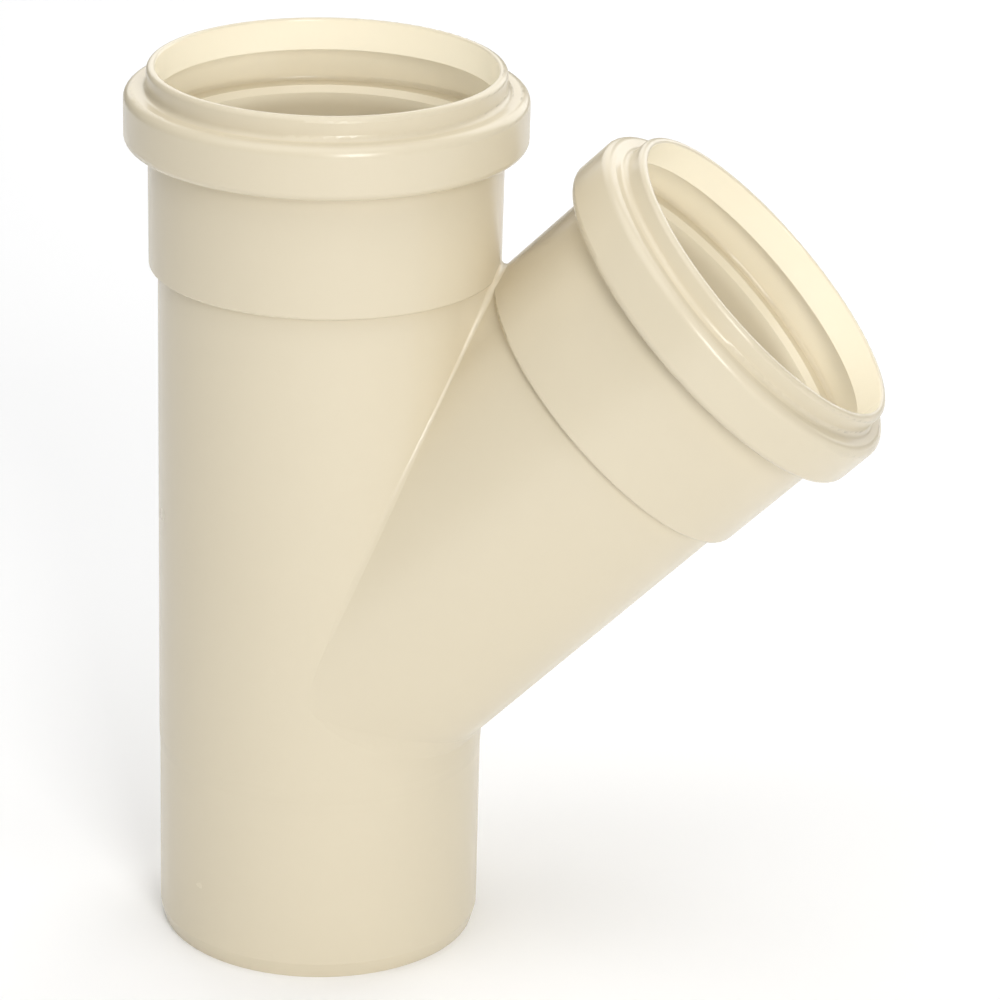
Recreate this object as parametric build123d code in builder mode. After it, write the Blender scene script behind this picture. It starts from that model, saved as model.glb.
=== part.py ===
from build123d import *
from math import cos, exp, pi, radians, sin, sqrt, tan
import os

# Sewer wye fitting, 45 degrees, DN 100, reinforced wall, moulded in one piece.
# Millimetres. +Z runs up the straight run and +X points to the branch side.
# The origin is the centre of the spigot's end face.

# Spigot, the plain lower end that enters the next fitting's socket
spigot_radius = 50.8
spigot_wall = 2.8
spigot_insertion = 60.0
spigot_bevel_length = 5.0
spigot_bevel_depth = 1.4

# Body, slightly fuller than the calibrated spigot
body_growth = 0.25
growth_ramp = 4.0
heel_gap = 4.7
branch_angle = 45.0
branch_undersize = 0.3

# Corner between run and branch, rounded as by a ball that grows and shrinks on its way along it
crotch_round = 1.4
crotch_round_reach = 23.0
crease_round = 0.45
upper_side_round = 6.0
upper_side_reach = 8.0
heel_round = 2.0
lower_side_round = 25.0
corner_sink = 0.02
corner_root = 3.0
corner_end_gap = 10.0
corner_slice_angle = 4.0

# Sockets, alike on the run and on the branch
run_neck = 6.0
branch_neck = 5.0
socket_length = 62.5
socket_clearance = 0.3
socket_wall = 2.75
socket_flare = 0.2
shoulder_round = 1.0
stop_wall = 2.8

# Lip at the mouth, and the bead that bulges over the ring groove
lip_length = 7.2
lip_wall = 2.7
lip_clearance = 0.9
lip_base_round = 1.8
rim_outer_round = 1.7
rim_inner_round = 0.8
bead_length = 16.4
bead_wall = 2.7
bead_top_round = 3.0
bead_bottom_round = 2.5

# Ring groove inside the bead, with a lead-in cone down to the bore
groove_depth = 7.5
groove_floor_wall = 1.9
groove_corner_round = 1.4
lead_in_length = 2.0
lead_in_growth = 1.6

# Web that fills the narrow gap between the two sockets and runs out into the crease below
web_reach = 24.0
web_overlap = 8.0
web_slices_each_side = 9

# Radii and heights that follow from the sizes above
duct_radius = spigot_radius - spigot_wall
body_radius = spigot_radius + body_growth
branch_radius = body_radius - branch_undersize
bore_radius = spigot_radius + socket_clearance
socket_radius = bore_radius + socket_wall
mouth_radius = spigot_radius + lip_clearance
lip_radius = mouth_radius + lip_wall
groove_radius = bore_radius + groove_depth
bead_radius = groove_radius + bead_wall

lean = radians(branch_angle)
half_angle = lean / 2
heel_height = spigot_insertion + growth_ramp + heel_gap
crossing_height = heel_height + body_radius * tan(half_angle)
crotch_reach = body_radius / tan(half_angle)
run_step = crossing_height + crotch_reach + run_neck
branch_step = crotch_reach + branch_neck

run_plane = Plane.XZ
branch_plane = Plane(
    origin=(0, 0, crossing_height),
    x_dir=Vector(1, 0, 0).rotate(Axis.Y, branch_angle),
    z_dir=run_plane.z_dir,
)
run_axis = Axis(run_plane.origin, run_plane.y_dir)
branch_axis = Axis(branch_plane.origin, branch_plane.y_dir)


def socket_outline(root, step):
    """Closed outline of a socket's outer shape, from inside the tube at its root up to the rim."""
    rim = step + socket_length
    bead_top = rim - lip_length
    bead_bottom = bead_top - bead_length
    with BuildLine() as outline:
        FilletPolyline(
            (0, root),
            (duct_radius, root),
            (duct_radius, step),
            (socket_radius, step),
            (socket_radius + socket_flare, bead_bottom),
            (bead_radius, bead_bottom),
            (bead_radius, bead_top),
            (lip_radius, bead_top),
            (lip_radius, rim),
            (0, rim),
            radius=[
                0,
                0,
                shoulder_round,
                0,
                bead_bottom_round,
                bead_top_round,
                lip_base_round,
                rim_outer_round,
            ],
        )
        Line((0, rim), (0, root))
    return outline.line


def hollow_outline(foot, step):
    """Closed outline of a leg's hollow: duct, pipe stop, bore, lead-in, ring groove and mouth."""
    rim = step + socket_length
    stop = step + stop_wall
    bead_bottom = rim - lip_length - bead_length
    groove_floor = bead_bottom + groove_floor_wall
    groove_roof = rim - lip_length - lip_wall
    with BuildLine() as outline:
        walls = FilletPolyline(
            (0, foot),
            (duct_radius, foot),
            (duct_radius, stop),
            (bore_radius, stop),
            (bore_radius, groove_floor - lead_in_length),
            (bore_radius + lead_in_growth, groove_floor),
            (groove_radius, groove_floor),
            (groove_radius, groove_roof),
            (mouth_radius, groove_roof),
            (mouth_radius, rim - rim_inner_round),
            radius=[0, 0, 0, 0, 0, groove_corner_round, groove_corner_round, 0],
        )
        flare = TangentArc(walls @ 1, (mouth_radius + rim_inner_round, rim), tangent=walls % 1)
        Polyline(flare @ 1, (0, rim), (0, foot))
    return outline.line


def upper_round(offset):
    """Radius of the upper corner, at an offset from the middle plane."""
    crotch = (crotch_round - crease_round) * exp(-((offset / crotch_round_reach) ** 4))
    side = upper_side_round * exp((abs(offset) - body_radius) / upper_side_reach)
    return crotch + crease_round + side


def lower_round(offset):
    """Radius of the lower corner, at an offset from the middle plane."""
    return heel_round + lower_side_round * (offset / body_radius) ** 2


def corner_slice(side, angle, radius):
    """Slice of a corner under a ball that touches both tubes. The side is -1 above, 1 below."""
    offset = (branch_radius - corner_sink + radius) * sin(angle)
    run_reach = sqrt((body_radius - corner_sink + radius) ** 2 - offset**2)
    branch_reach = side * (branch_radius - corner_sink + radius) * cos(angle)
    along = (run_reach - branch_reach * cos(lean)) / sin(lean)
    centre = branch_plane.from_local_coords((branch_reach, along, offset))
    to_run = Vector(-centre.X, -centre.Y, 0).normalized()
    to_branch = (branch_plane.from_local_coords((0, along, 0)) - centre).normalized()
    half_turn = to_run.get_angle(to_branch) / 2
    root = radius / cos(radians(half_turn)) + corner_root
    slice_plane = Plane(origin=centre, x_dir=to_run + to_branch, z_dir=to_run.cross(to_branch))
    with BuildSketch(slice_plane) as section:
        with BuildLine():
            arc = CenterArc((0, 0), radius, -half_turn, 2 * half_turn)
            Polyline(arc @ 1, (root, 0), arc @ 0)
        make_face()
    return section.sketch


def web_slice(offset):
    """Slice of the web at an offset from the middle plane, where the walls of both legs are straight."""
    swell = (1 + cos(pi * (offset / web_reach) ** 2)) / 2
    run_wall = body_radius - corner_sink + (socket_radius - body_radius) * swell
    branch_wall = branch_radius - corner_sink + (socket_radius - branch_radius) * swell
    run_reach = sqrt(run_wall**2 - offset**2)
    branch_reach = sqrt(branch_wall**2 - offset**2)
    along = (run_reach + branch_reach * cos(lean)) / sin(lean)
    corner = branch_plane.from_local_coords((-branch_reach, along))
    branch_end = branch_plane.from_local_coords((-branch_reach, branch_step + web_overlap))
    # Away from the middle the slice cuts the corner aslant, so its round is drawn smaller
    slant = sqrt(1 - (offset / body_radius) ** 2)
    with BuildSketch(run_plane.offset(offset)) as section:
        with BuildLine():
            FilletPolyline(
                (0, crossing_height),
                (run_reach, run_step + web_overlap),
                (corner.X, corner.Z),
                (branch_end.X, branch_end.Z),
                radius=[0, upper_round(offset) * slant**3],
            )
            Line((branch_end.X, branch_end.Z), (0, crossing_height))
        make_face()
    return section.sketch


# Plain tubes of the run and the branch
with BuildPart() as tubes:
    with BuildSketch(run_plane):
        with BuildLine():
            Polyline(
                (0, 0),
                (spigot_radius - spigot_bevel_depth, 0),
                (spigot_radius, spigot_bevel_length),
                (spigot_radius, spigot_insertion),
                (body_radius, spigot_insertion + growth_ramp),
                (body_radius, run_step + stop_wall),
                (0, run_step + stop_wall),
                close=True,
            )
        make_face()
    revolve(axis=run_axis)
    with BuildSketch(branch_plane):
        with BuildLine():
            Polyline(
                (0, 0),
                (branch_radius, 0),
                (branch_radius, branch_step + stop_wall),
                (0, branch_step + stop_wall),
                close=True,
            )
        make_face()
    revolve(axis=branch_axis)

# Rounded corners above and below the branch, each from one side of the fitting to the other
corner_end = radians(90 - corner_end_gap)
half_count = round((90 - corner_end_gap) / corner_slice_angle)
angles = [corner_end * place / half_count for place in range(-half_count, half_count + 1)]
offsets = [branch_radius * sin(angle) for angle in angles]
with BuildPart() as upper_corner:
    loft([corner_slice(-1, angle, upper_round(offset)) for angle, offset in zip(angles, offsets)])
with BuildPart() as lower_corner:
    loft([corner_slice(1, angle, lower_round(offset)) for angle, offset in zip(angles, offsets)])

# Web at the crotch
places = range(-web_slices_each_side, web_slices_each_side + 1)
with BuildPart() as web:
    loft([web_slice(web_reach * place / web_slices_each_side) for place in places])

# Whole fitting: tubes, corners, sockets and web joined, then both legs hollowed out
with BuildPart() as wye_body:
    add(tubes.part)
    add(upper_corner.part)
    add(lower_corner.part)
    with BuildSketch(run_plane):
        make_face(socket_outline(crossing_height, run_step))
    revolve(axis=run_axis)
    with BuildSketch(branch_plane):
        make_face(socket_outline(0, branch_step))
    revolve(axis=branch_axis)
    add(web.part)
    with BuildSketch(run_plane):
        make_face(hollow_outline(0, run_step))
    revolve(axis=run_axis, mode=Mode.SUBTRACT)
    with BuildSketch(branch_plane):
        make_face(hollow_outline(0, branch_step))
    revolve(axis=branch_axis, mode=Mode.SUBTRACT)

wye_body.part.label = "wye_body"
os.makedirs("parts", exist_ok=True)
export_step(wye_body.part, "parts/wye_body.step")
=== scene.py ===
import math

import bpy
from mathutils import Matrix, Vector

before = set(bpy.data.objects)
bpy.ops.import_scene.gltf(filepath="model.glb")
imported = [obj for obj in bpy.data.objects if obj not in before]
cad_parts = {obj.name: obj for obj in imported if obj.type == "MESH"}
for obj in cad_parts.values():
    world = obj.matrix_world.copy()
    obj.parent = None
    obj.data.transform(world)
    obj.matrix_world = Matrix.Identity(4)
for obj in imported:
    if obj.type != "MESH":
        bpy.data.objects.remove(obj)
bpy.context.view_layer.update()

# Floor
# The fitting stands on a wide, matt, almost white floor. It is one plain sheet, far wider
# than the view, with a faint unevenness of tone.

FLOOR_REACH = 9.0
FLOOR_COLOUR = (0.97, 0.97, 0.97, 1)
FLOOR_SHADE = (0.955, 0.955, 0.955, 1)
FLOOR_PATCHES = 3.0
FLOOR_ROUGHNESS = 0.9


class Shader:
    """The node tree of one material, with one method that adds any node."""

    def __init__(self, name):
        self.material = bpy.data.materials.new(name)
        self.material.use_nodes = True
        self.tree = self.material.node_tree
        self.tree.nodes.clear()

    def node(self, kind, settings, sockets):
        """Adds a node. Its settings are set first, then its sockets, named or numbered."""
        made = self.tree.nodes.new(kind)
        for name, value in settings.items():
            setattr(made, name, value)
        for name, value in sockets.items():
            self.feed(made.inputs[name], value)
        return made

    def feed(self, socket, value):
        """Links a socket to a wire, or sets it to a plain value."""
        if isinstance(value, Wire):
            self.tree.links.new(value.socket, socket)
        else:
            socket.default_value = value

    def wire(self, kind, settings, sockets, output=0):
        """Adds a node and gives one of its outputs."""
        return Wire(self, self.node(kind, settings, sockets).outputs[output])

    def noise(self, place, scale, detail=2.0):
        """Soft noise from 0 to 1, its patches about 1 / scale metres across."""
        return self.wire(
            "ShaderNodeTexNoise", {}, {"Vector": place, "Scale": scale, "Detail": detail})

    def blend(self, share, first, second):
        """A colour between two, by share."""
        return self.wire(
            "ShaderNodeMix", {"data_type": "RGBA"},
            {"Factor": share, 6: first, 7: second}, output=2)

    def surface(self, sockets):
        """Ends the tree in one principled surface and gives the finished material."""
        skin = self.wire("ShaderNodeBsdfPrincipled", {}, sockets)
        self.node("ShaderNodeOutputMaterial", {}, {"Surface": skin})
        return self.material


class Wire:
    """A socket whose value varies over a surface. Arithmetic on it adds Math nodes."""

    def __init__(self, shader, socket):
        self.shader = shader
        self.socket = socket

    def join(self, operation, first, second):
        return self.shader.wire(
            "ShaderNodeMath", {"operation": operation}, {0: first, 1: second})

    def __add__(self, other):
        return self.join("ADD", self, other)

    def __radd__(self, other):
        return self.join("ADD", other, self)

    def __mul__(self, other):
        return self.join("MULTIPLY", self, other)

    def __rmul__(self, other):
        return self.join("MULTIPLY", other, self)


def floor_material():
    shader = Shader("pale_floor")
    place = shader.wire("ShaderNodeTexCoord", {}, {}, output="Object")
    patches = shader.noise(place, FLOOR_PATCHES)
    return shader.surface({
        "Base Color": shader.blend(patches, FLOOR_COLOUR, FLOOR_SHADE),
        "Roughness": FLOOR_ROUGHNESS,
    })


floor_mesh = bpy.data.meshes.new("floor")
floor_corners = [
    (-FLOOR_REACH, -FLOOR_REACH, 0), (FLOOR_REACH, -FLOOR_REACH, 0),
    (FLOOR_REACH, FLOOR_REACH, 0), (-FLOOR_REACH, FLOOR_REACH, 0)]
floor_mesh.from_pydata(floor_corners, [], [(0, 1, 2, 3)])
floor = bpy.data.objects.new("floor", floor_mesh)
floor.data.materials.append(floor_material())
bpy.context.scene.collection.objects.link(floor)

# Studio light
# A pale room and soft rectangular lamps round the fitting. The key lamp, the one overhead and
# the two behind show as highlights, and the fills don't. Azimuth 0 is the front and 90 the
# side that the branch leans to.

ROOM_COLOUR = (1.0, 1.0, 1.0, 1)
ROOM_LIGHT = 0.08
LAMP_TARGET = Vector((0.05, 0, 0.15))


def heading(azimuth, rise):
    """Direction away from the fitting, at an azimuth and an angle above the floor, in degrees."""
    turn, tilt = math.radians(azimuth), math.radians(rise)
    return Vector((
        math.sin(turn) * math.cos(tilt), -math.cos(turn) * math.cos(tilt), math.sin(tilt)))


def area_lamp(name, place, way, width, height, power, mirrored):
    """Soft lamp at a place, shining along a way. It shows as a highlight only if mirrored."""
    light = bpy.data.lights.new(name, "AREA")
    light.shape = "RECTANGLE"
    light.size = width
    light.size_y = height
    light.energy = power
    lamp = bpy.data.objects.new(name, light)
    lamp.location = place
    lamp.rotation_euler = (-way).to_track_quat("Z", "Y").to_euler()
    lamp.visible_camera = False
    lamp.visible_glossy = mirrored
    bpy.context.scene.collection.objects.link(lamp)
    return light


def hang_lamp(name, azimuth, rise, reach, width, height, power, mirrored=False):
    """Lamp that hangs reach metres from its target and shines at it."""
    out = heading(azimuth, rise)
    area_lamp(name, LAMP_TARGET + out * reach, -out, width, height, power, mirrored)


world = bpy.data.worlds.new("room")
world.use_nodes = True
background = world.node_tree.nodes["Background"]
background.inputs["Color"].default_value = ROOM_COLOUR
background.inputs["Strength"].default_value = ROOM_LIGHT
bpy.context.scene.world = world

hang_lamp(
    "key_lamp", azimuth=25, rise=20, reach=2.2, width=0.65, height=1.2, power=26, mirrored=True)
hang_lamp(
    "overhead_lamp", azimuth=330, rise=78, reach=1.5, width=1.6, height=1.6, power=11.5,
    mirrored=True)
hang_lamp(
    "right_back_lamp", azimuth=152, rise=28, reach=1.8, width=1.2, height=1.6, power=13,
    mirrored=True)
hang_lamp(
    "left_back_lamp", azimuth=198, rise=28, reach=1.8, width=1.2, height=1.2, power=7,
    mirrored=True)
hang_lamp("right_fill", azimuth=66, rise=54, reach=1.8, width=1.2, height=1.2, power=5.5)
hang_lamp("left_fill", azimuth=240, rise=50, reach=1.8, width=1.2, height=1.2, power=5)
hang_lamp("left_front_fill", azimuth=310, rise=38, reach=1.8, width=1.2, height=1.0, power=4)

# A small cool lamp inside each leg, below what the camera sees, lights the ring grooves. For
# each, its place and the way that it shines, along the leg's axis to the mouth.

INNER_LAMP_SIDE = 0.06
INNER_LAMP_POWER = 0.05
INNER_LAMP_COLOUR = (0.84, 0.91, 1.0)
INNER_LAMPS = {
    "run_inner_lamp": (Vector((0, 0, 0.2536)), Vector((0, 0, 1))),
    "branch_inner_lamp": (Vector((0.115, 0, 0.2049)), Vector((1, 0, 1))),
}

for name, (place, way) in INNER_LAMPS.items():
    inner = area_lamp(
        name, place, way, INNER_LAMP_SIDE, INNER_LAMP_SIDE, INNER_LAMP_POWER, mirrored=False)
    inner.color = INNER_LAMP_COLOUR

# Body of the fitting
# One injection moulding in cream PVC: spigot, run, branch and both sockets. Its skin is
# smooth and half glossy from the polished mould, with faint clouds of tone, a haze of fine
# wear in the gloss and a slight orange peel.

PVC_COLOUR = (0.70, 0.625, 0.47, 1)
PVC_CLOUD_COLOUR = (0.68, 0.602, 0.447, 1)
PVC_CLOUD_SCALE = 14.0
PVC_CLOUD_DETAIL = 4.0
PVC_SPECK_SCALE = 260.0
PVC_SPECK_SHARE = 0.25
PVC_ROUGHNESS = 0.2
PVC_HAZE = 0.1
PVC_HAZE_SCALE = 40.0
PVC_HAZE_DETAIL = 3.0
PVC_PEEL_SCALE = 550.0
PVC_PEEL_DEPTH = 0.000006
PVC_REFRACTION = 1.5


def pvc_material():
    shader = Shader("cream_pvc")
    place = shader.wire("ShaderNodeTexCoord", {}, {}, output="Object")
    clouds = shader.noise(place, PVC_CLOUD_SCALE, PVC_CLOUD_DETAIL)
    specks = shader.noise(place, PVC_SPECK_SCALE)
    tone = clouds * (1 - PVC_SPECK_SHARE) + specks * PVC_SPECK_SHARE
    haze = shader.noise(place, PVC_HAZE_SCALE, PVC_HAZE_DETAIL)
    peel = shader.noise(place, PVC_PEEL_SCALE) * PVC_PEEL_DEPTH
    relief = shader.wire("ShaderNodeBump", {}, {"Distance": 1.0, "Height": peel})
    return shader.surface({
        "Base Color": shader.blend(tone, PVC_COLOUR, PVC_CLOUD_COLOUR),
        "Roughness": PVC_ROUGHNESS + haze * PVC_HAZE,
        "Normal": relief,
        "IOR": PVC_REFRACTION,
    })


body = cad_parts["wye_body"]
for slot in body.material_slots:
    slot.material = pvc_material()

# Camera
# It looks at the fitting from the front and a little above, from the side that the
# branch leans to, through a long lens.

CAMERA_AZIMUTH = 7.976
CAMERA_RISE = 21.690
CAMERA_ROLL = math.radians(1.513)
CAMERA_DISTANCE = 1.39456
CAMERA_TARGET = Vector((0.05573, 0, 0.14573))
SENSOR_WIDTH = 36.0
FOCAL_LENGTH = 162.124

back = heading(CAMERA_AZIMUTH, CAMERA_RISE)
level_right = Vector((0, 0, 1)).cross(back).normalized()
level_up = back.cross(level_right)
right = level_right * math.cos(CAMERA_ROLL) + level_up * math.sin(CAMERA_ROLL)
up = back.cross(right)
camera = bpy.data.objects.new("camera", bpy.data.cameras.new("camera"))
camera.data.sensor_width = SENSOR_WIDTH
camera.data.lens = FOCAL_LENGTH
camera.matrix_world = Matrix.Translation(CAMERA_TARGET + back * CAMERA_DISTANCE) @ Matrix(
    (right, up, back)).transposed().to_4x4()
bpy.context.scene.collection.objects.link(camera)
bpy.context.scene.camera = camera
bpy.context.scene.view_settings.view_transform = "Standard"
